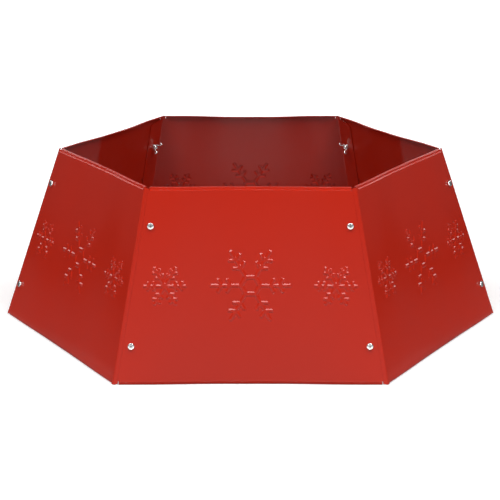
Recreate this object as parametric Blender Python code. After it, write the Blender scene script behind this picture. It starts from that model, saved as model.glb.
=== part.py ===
"""Hexagonal steel collar that stands round the foot of a Christmas tree.

Six sheet panels lean inwards. Their top and bottom edges are bent in to a short lip, and pressed
snowflakes stand out of their faces. At each corner the flange of one panel lies inside the edge of
the next, and two pan-head screws with wing nuts hold the two together.

The origin is on the floor in the middle of the hexagon. The front panel faces -Y.
"""
import math

import bmesh
import bpy
from mathutils import Matrix, Vector

MM = 0.001

# Size of the hexagon, measured over the outer faces of the panels
BASE_SIDE = 340 * MM
TOP_SIDE = 261 * MM
HEIGHT = 235 * MM

# Sheet, and the play between pieces that touch
SHEET = 0.8 * MM
SEAT_GAP = 0.3 * MM

# Bent lips: reach from the outer face inwards, and outer radius of the bend
RIM_REACH = 5 * MM
RIM_BEND = 4 * MM
FOOT_REACH = 8 * MM
FOOT_BEND = 2.5 * MM
BEND_STEPS = 3

# Places along a panel's width, measured from the corner of the hexagon
FREE_EDGE = 4.5 * MM  # edge of the panel that lies outside
LIP_END = 6 * MM
RELIEF_WIDTH = 1 * MM  # slot between the end of a lip and the corner tab
RELIEF_DEPTH = 0.5 * MM  # depth of that slot beyond the bend
FLANGE_EDGE = 30 * MM

# Flange
FLANGE_BEND = 3 * MM
FLANGE_BEND_STEPS = 3
FLANGE_TAPER = 6 * MM  # fall of its ends from the lip to its free edge
TAB_FALL = 0.3 * MM  # from the rim's height to the corner tab's end
CORNER_FALL = 1.7 * MM  # from the rim's height to the flange's end, beside the lip

# Screws
SCREW_INSET = 14.5 * MM  # from the corner of the hexagon to the screw
SCREW_RISE = 48 * MM  # up or down the slope from the nearer end of the panel
SHANK_DIAMETER = 4 * MM
HOLE_PLAY = 0.3 * MM  # all round the shank
HEAD_DIAMETER = 8.6 * MM
HEAD_HEIGHT = 3 * MM
HEAD_RIM = 1.4 * MM  # straight side of the head under its dome
DOME_SHARE = 0.25  # of the dome's height, lost halfway out from the crown
RECESS_SPAN = 4.6 * MM
RECESS_WIDTH = 1.2 * MM
RECESS_DEPTH = 1.3 * MM
HEAD_FLAT = 0.5 * MM  # flat crown of the head round its recess
SCREW_TAIL = 2.2 * MM  # stands out of the wing nut

# Wing nuts
HUB_DIAMETER = 8.4 * MM
HUB_TOP_DIAMETER = 6.8 * MM
HUB_HEIGHT = 4.6 * MM
WING_SPAN = 20 * MM
WING_HEIGHT = 10 * MM
WING_SHEET = 1.9 * MM
WING_FOOT = 0.9 * MM  # from the seat to the lower edge of the wing
WING_SHOULDER = 0.5 * MM  # from the top of the hub down to the upper edge of the wing
EAR_RADIUS = 2.7 * MM
EAR_START = math.radians(-50)
EAR_SWEEP = math.radians(190)

# Snowflakes
FLAKE_RELIEF = 0.9 * MM  # stands out of the panel
SMALL_FLAKE_OFFSET = 106 * MM
FLAKES = {
    "large": {
        "reach": 50 * MM,
        "arm": 3.5 * MM,
        "ring": 11.9 * MM,
        "ring_stroke": 4.7 * MM,
        "branches": (24.6 * MM, 35.8 * MM),
        "branch_length": 10 * MM,
    },
    "small": {
        "reach": 27 * MM,
        "arm": 3 * MM,
        "ring": 0,
        "ring_stroke": 0,
        "branches": (11.5 * MM, 18.5 * MM),
        "branch_length": 6.5 * MM,
    },
}
FLAKE_ARMS = 6
BRANCH_ANGLE = math.radians(60)

# Faceting of round pieces
ROUND_STEPS = 12
EAR_STEPS = 5

# Cutters run this far past what they cut, and points nearer than this are one
OVERRUN = 2 * MM
MERGE = 0.003 * MM

SIDES = 6
LEFT = -1
RIGHT = 1

# The panels, counter-clockwise seen from above
PANELS = ("front", "front_right", "back_right", "back", "back_left", "front_left")

# Each corner: the panel that lies outside there, and the side of it
CORNERS = {
    "front_left": ("front", LEFT),
    "front_right": ("front", RIGHT),
    "left": ("front_left", LEFT),
    "right": ("front_right", RIGHT),
    "back_left": ("back_left", LEFT),
    "back_right": ("back_right", RIGHT),
}

# How far the wings of each corner's upper and lower nut stand turned from the slope
WING_TURNS = {
    "front_left": (math.radians(75), math.radians(20)),
    "front_right": (math.radians(75), math.radians(20)),
    "left": (math.radians(10), math.radians(55)),
    "right": (math.radians(10), math.radians(55)),
    "back_left": (math.radians(36), math.radians(80)),
    "back_right": (math.radians(36), math.radians(80)),
}

# Sizes that follow from the ones above
BASE_APOTHEM = BASE_SIDE * math.cos(math.pi / SIDES)
TOP_APOTHEM = TOP_SIDE * math.cos(math.pi / SIDES)
LEAN = math.atan2(BASE_APOTHEM - TOP_APOTHEM, HEIGHT)
SLOPE = HEIGHT / math.cos(LEAN)
FLARE = math.atan2((BASE_SIDE - TOP_SIDE) / 2, SLOPE)
HOLE_RADIUS = SHANK_DIAMETER / 2 + HOLE_PLAY
FLANGE_DEPTH = SHEET + SEAT_GAP
GRIP = SEAT_GAP + SHEET + SEAT_GAP + SHEET + SEAT_GAP


def clear_scene():
    for thing in list(bpy.data.objects):
        bpy.data.objects.remove(thing, do_unlink=True)


def make_material(name, color, roughness, metallic):
    material = bpy.data.materials.new(name)
    material.use_nodes = True
    shader = material.node_tree.nodes["Principled BSDF"]
    shader.inputs["Base Color"].default_value = (*color, 1.0)
    shader.inputs["Roughness"].default_value = roughness
    shader.inputs["Metallic"].default_value = metallic
    return material


def red_enamel(name):
    return make_material(name, (0.46, 0.026, 0.015), 0.3, 0.0)


def bright_zinc(name):
    return make_material(name, (0.68, 0.68, 0.67), 0.25, 1.0)


def object_from(mesh_builder, name):
    """Turn a bmesh into a linked object."""
    mesh = bpy.data.meshes.new(name)
    mesh_builder.to_mesh(mesh)
    mesh_builder.free()
    thing = bpy.data.objects.new(name, mesh)
    bpy.context.collection.objects.link(thing)
    return thing


def make_cutter(mesh_builder, name):
    cutter = object_from(mesh_builder, name)
    cutter.display_type = "WIRE"
    cutter.hide_render = True
    return cutter


def combine(thing, operation, other):
    modifier = thing.modifiers.new(operation.title(), "BOOLEAN")
    modifier.operation = operation
    modifier.solver = "EXACT"
    modifier.object = other


def settle(thing, cutters, smooth_below=math.radians(40)):
    """Apply the modifiers, remove the cutters and shade the round faces smooth."""
    view = bpy.context.evaluated_depsgraph_get()
    finished = bpy.data.meshes.new_from_object(thing.evaluated_get(view), depsgraph=view)
    thing.modifiers.clear()
    thing.data = finished
    for cutter in cutters:
        bpy.data.objects.remove(cutter, do_unlink=True)
    finished.shade_smooth()
    finished.set_sharp_from_angle(angle=smooth_below)


def panel_frame(turns):
    """Axes of a panel: X along its width, Y up its slope, Z out of its outer face."""
    facing = Matrix.Rotation(turns * math.tau / SIDES, 4, "Z")
    foot = Matrix.Translation((0, -BASE_APOTHEM, 0))
    tilt = Matrix.Rotation(math.pi / 2 - LEAN, 4, "X")
    return facing @ foot @ tilt


def half_width(rise):
    """Half the width of a panel, corner to corner, this far up its slope."""
    return BASE_SIDE / 2 - rise * math.tan(FLARE)


def panel_point(side, inset, rise, depth=0.0):
    """A point of a panel, placed from one of its corners and inwards from its outer face."""
    return Vector((side * (half_width(rise) - inset), rise, -depth))


def neighbour(side):
    """Places of the panel round the corner, as this panel's own frame sees them."""
    return panel_frame(0).inverted() @ panel_frame(side)


def lip_profile(bend, reach, turn, upward):
    """Rise and depth of the outer face round a bend, from the flat sheet to the lip's edge."""
    tangent = bend * math.tan(turn / 2)
    flat_end = SLOPE - tangent if upward else tangent
    way = 1 if upward else -1
    points = []
    for step in range(BEND_STEPS + 1):
        angle = turn * step / BEND_STEPS
        points.append((flat_end + way * bend * math.sin(angle), bend - bend * math.cos(angle)))
    edge = reach - tangent
    rise, depth = points[-1]
    points.append((rise + edge * math.sin(LEAN), depth + edge * math.cos(LEAN)))
    return points


class Sheet:
    """The outer face of a bent panel, before it gets its thickness."""

    def __init__(self):
        self.builder = bmesh.new()
        self.found = {}
        self.middle = panel_frame(0).inverted() @ Vector((0, 0, HEIGHT / 2))

    def vertex(self, point):
        key = tuple(round(value / MERGE) for value in point)
        if key not in self.found:
            self.found[key] = self.builder.verts.new(point)
        return self.found[key]

    def face(self, points):
        """Add a face that looks away from the middle of the collar."""
        face = self.builder.faces.new([self.vertex(point) for point in points])
        face.normal_update()
        if face.normal.dot(face.calc_center_median() - self.middle) < 0:
            face.normal_flip()


def lip_strip(sheet, flat_rise, profile):
    """The lip between its two ends, joined to the flat sheet at flat_rise."""
    bend_rise = profile[0][0]
    half = half_width(bend_rise) - LIP_END
    flat_half = half_width(flat_rise) - LIP_END
    rows = [(flat_half, flat_rise, 0.0)]
    for rise, depth in profile:
        rows.append((half, rise, depth))
    for (low_half, low_rise, low_depth), (high_half, high_rise, high_depth) in zip(rows, rows[1:]):
        sheet.face([
            Vector((-low_half, low_rise, -low_depth)),
            Vector((low_half, low_rise, -low_depth)),
            Vector((high_half, high_rise, -high_depth)),
            Vector((-high_half, high_rise, -high_depth)),
        ])


def free_margin(sheet, side, low, high):
    """Flat sheet from the end of the lips to the edge that lies outside the next panel."""
    sheet.face([
        panel_point(side, LIP_END, low),
        panel_point(side, FREE_EDGE, low),
        panel_point(side, FREE_EDGE, high),
        panel_point(side, LIP_END, high),
    ])


def flange_margin(sheet, side, low, high):
    """Corner tabs, the bend round the corner and the flange that lies inside the next panel."""
    beyond = neighbour(side)
    out = Vector((0, 0, 1))
    out_beyond = (beyond.to_3x3() @ out).normalized()
    turn = out.angle(out_beyond)
    fold = FLANGE_DEPTH / math.sin(turn)
    start_inset = (fold + FLANGE_BEND * math.tan(turn / 2)) / math.cos(FLARE)
    tab_inset = LIP_END - RELIEF_WIDTH
    foot = TAB_FALL
    rim = SLOPE - TAB_FALL
    sheet.face([
        panel_point(side, LIP_END, low),
        panel_point(side, tab_inset, low),
        panel_point(side, tab_inset, foot),
        panel_point(side, start_inset, foot),
        panel_point(side, start_inset, rim),
        panel_point(side, tab_inset, rim),
        panel_point(side, tab_inset, high),
        panel_point(side, LIP_END, high),
    ])
    rows = []
    for rise in (foot, rim):
        start = panel_point(side, start_inset, rise)
        centre = start - out * FLANGE_BEND
        row = [start]
        for step in range(1, FLANGE_BEND_STEPS + 1):
            arm = out.slerp(out_beyond, step / FLANGE_BEND_STEPS)
            row.append(centre + arm * FLANGE_BEND)
        rows.append(row)
    lower, upper = rows
    for step in range(FLANGE_BEND_STEPS):
        sheet.face([lower[step], lower[step + 1], upper[step + 1], upper[step]])
    beside_lip = LIP_END - 2 * SEAT_GAP
    outline = [
        (beside_lip, SLOPE - CORNER_FALL),
        (beside_lip, high),
        (FLANGE_EDGE, high - FLANGE_TAPER),
        (FLANGE_EDGE, low + FLANGE_TAPER),
        (beside_lip, low),
        (beside_lip, CORNER_FALL),
    ]
    flange = [beyond @ panel_point(-side, inset, rise, FLANGE_DEPTH) for inset, rise in outline]
    sheet.face([lower[-1], upper[-1], *flange])


def screw_places(level):
    return SCREW_RISE if level == "lower" else SLOPE - SCREW_RISE


def hole_cutter(name, sides):
    """Rods through every screw hole of one panel; sides tells which corners carry a flange."""
    builder = bmesh.new()
    length = GRIP + 2 * OVERRUN
    for side, has_flange in sides.items():
        place = neighbour(side) if has_flange else Matrix.Identity(4)
        edge = -side if has_flange else side
        for level in ("lower", "upper"):
            spot = panel_point(edge, SCREW_INSET, screw_places(level), GRIP / 2)
            bmesh.ops.create_cone(
                builder,
                cap_ends=True,
                segments=ROUND_STEPS,
                radius1=HOLE_RADIUS,
                radius2=HOLE_RADIUS,
                depth=length,
                matrix=place @ Matrix.Translation(spot),
            )
    return make_cutter(builder, name)


def arm_outline(flake):
    """One arm of a snowflake, pointing along X, from its right root round the tip to its left."""
    half = flake["arm"] / 2
    slant = Vector((math.cos(BRANCH_ANGLE), math.sin(BRANCH_ANGLE)))
    across = Vector((-slant.y, slant.x))
    reach_side = half / math.sin(BRANCH_ANGLE)
    points = []
    for base in flake["branches"]:
        root = Vector((base, 0))
        end = root + slant * flake["branch_length"]
        outer_base = root.x + half / math.tan(BRANCH_ANGLE) + reach_side
        inner_base = root.x + half / math.tan(BRANCH_ANGLE) - reach_side
        points.append(Vector((inner_base, half)))
        points.append(end + across * half)
        points.append(end - across * half)
        points.append(Vector((outer_base, half)))
    points.append(Vector((flake["reach"], half)))
    mirrored = [Vector((point.x, -point.y)) for point in points]
    return mirrored + points[::-1]


def flake_outline(flake):
    """Outline of a whole snowflake, counter-clockwise."""
    half = flake["arm"] / 2
    step = math.tau / FLAKE_ARMS
    points = []
    for arm in range(FLAKE_ARMS):
        turn = Matrix.Rotation(arm * step, 2)
        if flake["ring"]:
            ring_apothem = flake["ring"] * math.cos(step / 2) + flake["ring_stroke"] / 2
            corner = ring_apothem / math.cos(step / 2)
            root = corner - half * math.tan(step / 2)
            points.append(turn @ Vector((root, -half)))
        for point in arm_outline(flake):
            points.append(turn @ point)
        if flake["ring"]:
            points.append(turn @ Vector((root, half)))
        else:
            notch = half / math.sin(step / 2)
            between = Matrix.Rotation(step / 2, 2) @ Vector((notch, 0))
            points.append(turn @ between)
    return points


def ring_hole(flake):
    step = math.tau / FLAKE_ARMS
    apothem = flake["ring"] * math.cos(step / 2) - flake["ring_stroke"] / 2
    corner = Vector((apothem / math.cos(step / 2), 0))
    return [Matrix.Rotation(arm * step, 2) @ corner for arm in range(FLAKE_ARMS)]


def extrude_outline(builder, outline, centre, bottom, top):
    """A straight block over a flat outline, between two heights; returns its corners."""
    corners = []
    for point in outline:
        corners.append(builder.verts.new((centre.x + point.x, centre.y + point.y, bottom)))
    floor = builder.faces.new(corners)
    lifted = bmesh.ops.extrude_face_region(builder, geom=[floor], use_keep_orig=True)
    moved = [item for item in lifted["geom"] if isinstance(item, bmesh.types.BMVert)]
    bmesh.ops.translate(builder, verts=moved, vec=(0, 0, top - bottom))
    bmesh.ops.recalc_face_normals(builder, faces=builder.faces)
    return corners + moved


def flake_blocks(name):
    """The three snowflakes of a panel as raised blocks, rooted in the sheet."""
    builder = bmesh.new()
    middle = Vector((0, SLOPE / 2))
    spots = [
        ("large", middle),
        ("small", middle + Vector((SMALL_FLAKE_OFFSET, 0))),
        ("small", middle - Vector((SMALL_FLAKE_OFFSET, 0))),
    ]
    for kind, spot in spots:
        outline = flake_outline(FLAKES[kind])
        extrude_outline(builder, outline, spot, -SHEET / 2, FLAKE_RELIEF)
    blocks = make_cutter(builder, name)
    hole = bmesh.new()
    extrude_outline(hole, ring_hole(FLAKES["large"]), middle, -OVERRUN, OVERRUN)
    hole_block = make_cutter(hole, f"{name}_ring")
    combine(blocks, "DIFFERENCE", hole_block)
    return blocks, hole_block


def make_panel(name, turns, sides):
    """One bent panel; sides tells whether its left and right corner carry a flange."""
    foot_profile = lip_profile(FOOT_BEND, FOOT_REACH, math.pi / 2 + LEAN, False)
    rim_profile = lip_profile(RIM_BEND, RIM_REACH, math.pi / 2 - LEAN, True)
    low = foot_profile[0][0] + RELIEF_DEPTH
    high = rim_profile[0][0] - RELIEF_DEPTH
    sheet = Sheet()
    sheet.face([
        panel_point(LEFT, LIP_END, low),
        panel_point(RIGHT, LIP_END, low),
        panel_point(RIGHT, LIP_END, high),
        panel_point(LEFT, LIP_END, high),
    ])
    lip_strip(sheet, low, foot_profile)
    lip_strip(sheet, high, rim_profile)
    for side, has_flange in sides.items():
        if has_flange:
            flange_margin(sheet, side, low, high)
        else:
            free_margin(sheet, side, low, high)
    panel = object_from(sheet.builder, f"panel_{name}")
    thickness = panel.modifiers.new("Sheet", "SOLIDIFY")
    thickness.thickness = SHEET
    thickness.offset = -1
    thickness.use_even_offset = True
    holes = hole_cutter(f"{name}_holes", sides)
    blocks, ring = flake_blocks(f"{name}_flakes")
    combine(panel, "DIFFERENCE", holes)
    combine(panel, "UNION", blocks)
    panel.data.materials.append(red_enamel(f"{name}_enamel"))
    settle(panel, [holes, blocks, ring])
    panel.matrix_world = panel_frame(turns)


def turned(builder, profile, steps):
    """Spin a profile of (radius, height) points round Z, closed where it meets the axis."""
    verts = [builder.verts.new((radius, 0, height)) for radius, height in profile]
    edges = [builder.edges.new(pair) for pair in zip(verts, verts[1:])]
    bmesh.ops.spin(
        builder,
        geom=verts + edges,
        cent=(0, 0, 0),
        axis=(0, 0, 1),
        angle=math.tau,
        steps=steps,
        use_merge=True,
    )
    bmesh.ops.remove_doubles(builder, verts=builder.verts, dist=MERGE)
    bmesh.ops.recalc_face_normals(builder, faces=builder.faces)


def screw_mesh():
    """Pan-head screw: its seat is at Z = 0, the head above and the shank below."""
    length = GRIP + HUB_HEIGHT + SCREW_TAIL
    head = HEAD_DIAMETER / 2
    shank = SHANK_DIAMETER / 2
    dome = HEAD_HEIGHT - HEAD_RIM
    flat = RECESS_SPAN / 2 + HEAD_FLAT
    profile = [
        (0, HEAD_HEIGHT),
        (flat, HEAD_HEIGHT),
        ((flat + head) / 2, HEAD_HEIGHT - DOME_SHARE * dome),
        (head, HEAD_RIM),
        (head, 0),
        (shank, 0),
        (shank, -length),
        (0, -length),
    ]
    builder = bmesh.new()
    turned(builder, profile, ROUND_STEPS)
    screw = object_from(builder, "screw_pattern")
    arm = RECESS_SPAN / 2
    narrow = RECESS_WIDTH / 2
    cross = bmesh.new()
    outline = []
    for quarter in range(4):
        turn = Matrix.Rotation(quarter * math.pi / 2, 2)
        for point in ((arm, -narrow), (arm, narrow), (narrow, narrow)):
            outline.append(turn @ Vector(point))
    extrude_outline(cross, outline, Vector((0, 0)), HEAD_HEIGHT - RECESS_DEPTH, HEAD_HEIGHT + OVERRUN)
    recess = make_cutter(cross, "recess")
    combine(screw, "DIFFERENCE", recess)
    settle(screw, [recess])
    mesh = screw.data
    bpy.data.objects.remove(screw, do_unlink=True)
    return mesh


def ear_outline():
    """One wing in its own plane: outwards from the axis, and up from the seat."""
    centre = Vector((WING_SPAN / 2 - EAR_RADIUS, WING_HEIGHT - EAR_RADIUS))
    root = HUB_TOP_DIAMETER / 2 - WING_SHEET / 2
    points = [Vector((root, WING_FOOT))]
    for step in range(EAR_STEPS + 1):
        angle = EAR_START + EAR_SWEEP * step / EAR_STEPS
        points.append(centre + EAR_RADIUS * Vector((math.cos(angle), math.sin(angle))))
    points.append(Vector((root, HUB_HEIGHT - WING_SHOULDER)))
    return points


def wing_nut_mesh():
    """Wing nut: its seat is at Z = 0, the wings rise along Z and stand out along X."""
    bottom = HUB_DIAMETER / 2
    top = HUB_TOP_DIAMETER / 2
    builder = bmesh.new()
    turned(builder, [(0, HUB_HEIGHT), (top, HUB_HEIGHT), (bottom, 0), (0, 0)], ROUND_STEPS)
    nut = object_from(builder, "wing_nut_pattern")
    wings = bmesh.new()
    upright = Matrix.Rotation(math.pi / 2, 4, "X")
    for opposite in (0, math.pi):
        half = WING_SHEET / 2
        corners = extrude_outline(wings, ear_outline(), Vector((0, 0)), -half, half)
        place = Matrix.Rotation(opposite, 4, "Z") @ upright
        bmesh.ops.transform(wings, matrix=place, verts=corners)
    wing_pair = make_cutter(wings, "wing_pair")
    bore = bmesh.new()
    bmesh.ops.create_cone(
        bore,
        cap_ends=True,
        segments=ROUND_STEPS,
        radius1=HOLE_RADIUS,
        radius2=HOLE_RADIUS,
        depth=2 * (HUB_HEIGHT + OVERRUN),
    )
    bore_rod = make_cutter(bore, "bore_rod")
    combine(nut, "UNION", wing_pair)
    combine(nut, "DIFFERENCE", bore_rod)
    settle(nut, [wing_pair, bore_rod])
    mesh = nut.data
    bpy.data.objects.remove(nut, do_unlink=True)
    return mesh


def place_copy(name, mesh, material, matrix):
    thing = bpy.data.objects.new(name, mesh.copy())
    thing.data.materials.clear()
    thing.data.materials.append(material)
    bpy.context.collection.objects.link(thing)
    thing.matrix_world = matrix


def make_fixings():
    """A screw from outside and a wing nut from inside, in every hole."""
    screw = screw_mesh()
    nut = wing_nut_mesh()
    inward = Matrix.Rotation(math.pi, 4, "X")
    for corner, (outer_panel, side) in CORNERS.items():
        frame = panel_frame(PANELS.index(outer_panel))
        for level, wing_turn in zip(("upper", "lower"), WING_TURNS[corner]):
            rise = screw_places(level)
            seat = frame @ Matrix.Translation(panel_point(side, SCREW_INSET, rise, -SEAT_GAP))
            name = f"screw_{corner}_{level}"
            place_copy(name, screw, bright_zinc(name), seat)
            spot = panel_point(side, SCREW_INSET, rise, GRIP - SEAT_GAP)
            turn = Matrix.Rotation(math.pi / 2 - side * wing_turn, 4, "Z")
            name = f"wing_nut_{corner}_{level}"
            place_copy(name, nut, bright_zinc(name), frame @ Matrix.Translation(spot) @ turn @ inward)
    for mesh in (screw, nut):
        bpy.data.meshes.remove(mesh)


def flange_sides(name):
    """Whether the left and right corner of a panel carry a flange."""
    return {side: (name, side) not in CORNERS.values() for side in (LEFT, RIGHT)}


def main():
    clear_scene()
    for turns, name in enumerate(PANELS):
        make_panel(name, turns, flange_sides(name))
    make_fixings()


main()
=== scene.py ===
"""Looks of the hexagonal steel tree collar.

Six powder-coated sheet panels with pressed snowflakes, and the plated screws and wing nuts that
hold them together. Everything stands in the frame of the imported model, in metres.
"""

import math

import bmesh
import bpy
from mathutils import Matrix, Vector
from mathutils.geometry import delaunay_2d_cdt


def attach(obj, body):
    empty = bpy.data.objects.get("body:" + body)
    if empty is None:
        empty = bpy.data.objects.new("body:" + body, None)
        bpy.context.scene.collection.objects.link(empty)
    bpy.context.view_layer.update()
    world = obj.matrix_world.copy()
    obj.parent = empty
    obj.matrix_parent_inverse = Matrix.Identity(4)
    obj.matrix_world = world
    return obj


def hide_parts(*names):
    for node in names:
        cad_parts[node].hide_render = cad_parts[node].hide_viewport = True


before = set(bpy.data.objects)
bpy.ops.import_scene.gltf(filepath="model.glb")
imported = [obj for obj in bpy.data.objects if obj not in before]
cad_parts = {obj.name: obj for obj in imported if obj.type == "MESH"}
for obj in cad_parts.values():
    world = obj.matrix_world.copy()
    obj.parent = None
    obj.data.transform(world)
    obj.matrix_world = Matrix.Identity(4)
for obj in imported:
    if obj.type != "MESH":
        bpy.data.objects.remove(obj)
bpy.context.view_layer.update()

MM = 0.001

# Size of the hexagon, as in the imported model
BASE_SIDE = 340 * MM
TOP_SIDE = 261 * MM
HEIGHT = 235 * MM

# Sheet, the play between pieces that touch, and the rounding of the coated sheet's edges
SHEET = 0.8 * MM
SEAT_GAP = 0.3 * MM
EDGE_ROUND = 0.3 * MM

# Bent lips
RIM_REACH = 5 * MM
RIM_BEND = 1.2 * MM
RIM_BAND = 3.3 * MM  # of the slope below the rim, set back from the rest
RIM_STEP = 2.1 * MM  # width of the ledge below that band
RIM_STEP_TURN = math.radians(62)  # from the slope to the ledge
STEP_FILLET = 0.3 * MM  # rounding between the ledge and the band
FOOT_REACH = 8 * MM
FOOT_BEND = 1.5 * MM
FOOT_BAND = 4 * MM  # of the slope above the foot, turned inwards
FOOT_BAND_TURN = math.radians(20)

# Places along a panel's width, measured from the corner of the hexagon
FREE_EDGE = 4.5 * MM
LIP_END = 6 * MM
FLANGE_EDGE = 30 * MM

# Slot between the end of a lip and the corner tab, and how far it runs past the lip's bend
RELIEF_WIDTH = 0.6 * MM
RELIEF_DEPTH = 0.5 * MM

# Flange, and the rounding of its corners and of the panel's
FLANGE_BEND = 3 * MM
FLANGE_TAPER = 6 * MM  # fall of its ends from the lip to its free edge
TAB_FALL = 0.3 * MM  # from the rim's height to the corner tab's end
CORNER_FALL = 1.7 * MM  # from the rim's height to the flange's end, beside the lip
FLANGE_ROUND = 3 * MM
TAB_ROUND = 0.7 * MM

# How far each panel bows inwards in the middle of its foot and of its rim
BOWS = {
    "front": (3 * MM, 2 * MM),
    "front_right": (1 * MM, 2 * MM),
    "back_right": (1 * MM, 5 * MM),
    "back": (1 * MM, 7.5 * MM),
    "back_left": (1 * MM, 5 * MM),
    "front_left": (1 * MM, 2 * MM),
}
BOW_RAMP_SHARE = 0.75  # of half the bowed width, over which the bow grows
BOW_MARGIN = 4 * MM  # straight sheet between a flange's edge and the bow

# Screws
SCREW_INSET = 14.5 * MM  # from the corner of the hexagon
SCREW_RISE = 48 * MM  # up or down the slope from the nearer end of the panel
SHANK_DIAMETER = 4 * MM
HOLE_PLAY = 0.3 * MM  # all round the shank
HEAD_DIAMETER = 8.6 * MM
HEAD_HEIGHT = 3 * MM
HEAD_RIM = 1.4 * MM  # straight side of the head under its dome
HEAD_FLAT = 0.5 * MM  # flat crown of the head round its recess
HEAD_ROUND = 0.25 * MM
RECESS_SPAN = 4.6 * MM
RECESS_WIDTH = 1.2 * MM
RECESS_DEPTH = 1.3 * MM
RECESS_ARMS = 4
RECESS_TAPER_SHARE = 0.55  # of its size, left at its bottom
SCREW_TAIL = 2.2 * MM  # stands out of the wing nut
THREAD_PITCH = 0.7 * MM
THREAD_DEPTH = 0.42 * MM
THREAD_LENGTH = 5 * MM
SCREW_SHARP = math.radians(35)  # edges above this angle stay sharp

# Wing nuts
HUB_DIAMETER = 8.4 * MM
HUB_TOP_DIAMETER = 6.8 * MM
HUB_HEIGHT = 4.6 * MM
WING_SPAN = 20 * MM
WING_HEIGHT = 10 * MM
WING_SHEET = 1.9 * MM
WING_FOOT = 0.9 * MM  # from the seat to the lower edge of the wing
EAR_RADIUS = 2.7 * MM
NUT_SHARP = math.radians(50)

# Cage of the wing nut, which smoothing rounds off
NUT_COLUMNS = 12
NUT_SMOOTHING = 2
NUT_CREASE = 0.8
EAR_STRETCH = 1.18  # of the ear's radius
EAR_LOW = math.radians(-60)  # from its middle, where its lower and its upper edge start
EAR_HIGH = math.radians(150)
NECK_LOW = Vector((5.6 * MM, 2.6 * MM))
NECK_MIDDLE = Vector((4.7 * MM, 4.4 * MM))
NECK_HIGH = Vector((3.7 * MM, 6.4 * MM))

# Snowflakes
FLAKE_RELIEF = 0.9 * MM
FLAKE_SLOPE = math.radians(31)  # of the pressed wall round a stroke
FLAKE_BEND = 0.25 * MM  # radius with which that wall meets the flat sheet
FLAKE_FILLET = 1 * MM  # rounding of the outline's corners
FLAKE_BORDER = 0.15 * MM  # flat sheet that keeps its own shading round the slope
SMALL_FLAKE_OFFSET = 106 * MM
FLAKES = {
    "large": {
        "reach": 50 * MM,
        "arm": 3.5 * MM,
        "ring": 11.9 * MM,
        "ring_stroke": 4.7 * MM,
        "branches": (24.6 * MM, 35.8 * MM),
        "branch_length": 10 * MM,
    },
    "small": {
        "reach": 27 * MM,
        "arm": 3 * MM,
        "ring": 0,
        "ring_stroke": 0,
        "branches": (11.5 * MM, 18.5 * MM),
        "branch_length": 6.5 * MM,
    },
}
FLAKE_ARMS = 6
BRANCH_ANGLE = math.radians(60)

# Fineness of the meshes
BEND_STEPS = 8
LIP_COLUMNS = 32
FOLD_ROWS = 16
FILLET_STEPS = 2
CORNER_STEPS = 4
RELIEF_STEPS = 2
RIM_STEPS = 4
HOLE_STEPS = 24
ROUND_STEPS = 48
THREAD_STEPS = 8
SPOT_SPACING = 15 * MM  # of the points over the flat sheet
SPOT_CLEARANCE = 6 * MM  # between them and its snowflakes and holes
FILL_INSIDE = 1  # the triangulation's way to leave holes open
FILL_TOLERANCE = 0.00001
OVERRUN = 2 * MM  # of a cutter past the face that it cuts

SIDES = 6
LEFT = -1
RIGHT = 1

# The panels, counter-clockwise seen from above
PANELS = ("front", "front_right", "back_right", "back", "back_left", "front_left")

# Each corner: the panel that lies outside there, and the side of it
CORNERS = {
    "front_left": ("front", LEFT),
    "front_right": ("front", RIGHT),
    "left": ("front_left", LEFT),
    "right": ("front_right", RIGHT),
    "back_left": ("back_left", LEFT),
    "back_right": ("back_right", RIGHT),
}

# How far the wings of each corner's upper and lower nut stand turned from the slope
WING_TURNS = {
    "front_left": (math.radians(75), math.radians(20)),
    "front_right": (math.radians(75), math.radians(20)),
    "left": (math.radians(10), math.radians(55)),
    "right": (math.radians(10), math.radians(55)),
    "back_left": (math.radians(36), math.radians(80)),
    "back_right": (math.radians(36), math.radians(80)),
}

# Sizes that follow from the ones above
BASE_APOTHEM = BASE_SIDE * math.cos(math.pi / SIDES)
TOP_APOTHEM = TOP_SIDE * math.cos(math.pi / SIDES)
LEAN = math.atan2(BASE_APOTHEM - TOP_APOTHEM, HEIGHT)
SLOPE = HEIGHT / math.cos(LEAN)
FLARE = math.atan2((BASE_SIDE - TOP_SIDE) / 2, SLOPE)
HOLE_RADIUS = SHANK_DIAMETER / 2 + HOLE_PLAY
FLANGE_DEPTH = SHEET + SEAT_GAP
GRIP = SEAT_GAP + SHEET + SEAT_GAP + SHEET + SEAT_GAP

# Camera, fitted to the photograph
CAMERA_PLACE = (0, -2.409, 0.765)
CAMERA_PITCH = math.radians(15.62)
CAMERA_LENS = 130.5
CAMERA_SENSOR = 36
CAMERA_SHIFT = -0.001

# Red powder coat
COAT_DARK = (0.51, 0.0155, 0.0028)
COAT_LIGHT = (0.54, 0.017, 0.0032)
COAT_GLOSSIEST = 0.1
COAT_DULLEST = 0.14
COAT_SPECULAR = 0.32
CLOUD_SCALE = 9
CLOUD_DETAIL = 3
PEEL_SCALE = 620
PEEL_DETAIL = 2
PEEL_DEPTH = 0.006 * MM

# Plated steel; the recess of the screws is painted darker as shade, and duller
SCREW_GRAIN = {"grain_scale": 2500, "grain_depth": 0.004 * MM}
NUT_GRAIN = {"grain_scale": 1500, "grain_depth": 0.01 * MM}
METALS = {
    "screw_zinc": {"colour": (0.86, 0.86, 0.85), "dull": 0.16, **SCREW_GRAIN},
    "wing_nut_zinc": {"colour": (0.92, 0.92, 0.91), "dull": 0.2, **NUT_GRAIN},
    # the recess's dark grey is painted shade, not a colour of the plated metal
    "screw_recess_painted_shade": {"colour": (0.2, 0.2, 0.2), "dull": 0.5, **SCREW_GRAIN},
}
GRAIN_DETAIL = 3
GRAIN_SHADE = 0.92  # of the metal's colour, where the grain is darkest
DULL_SPREAD = 0.2

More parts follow.
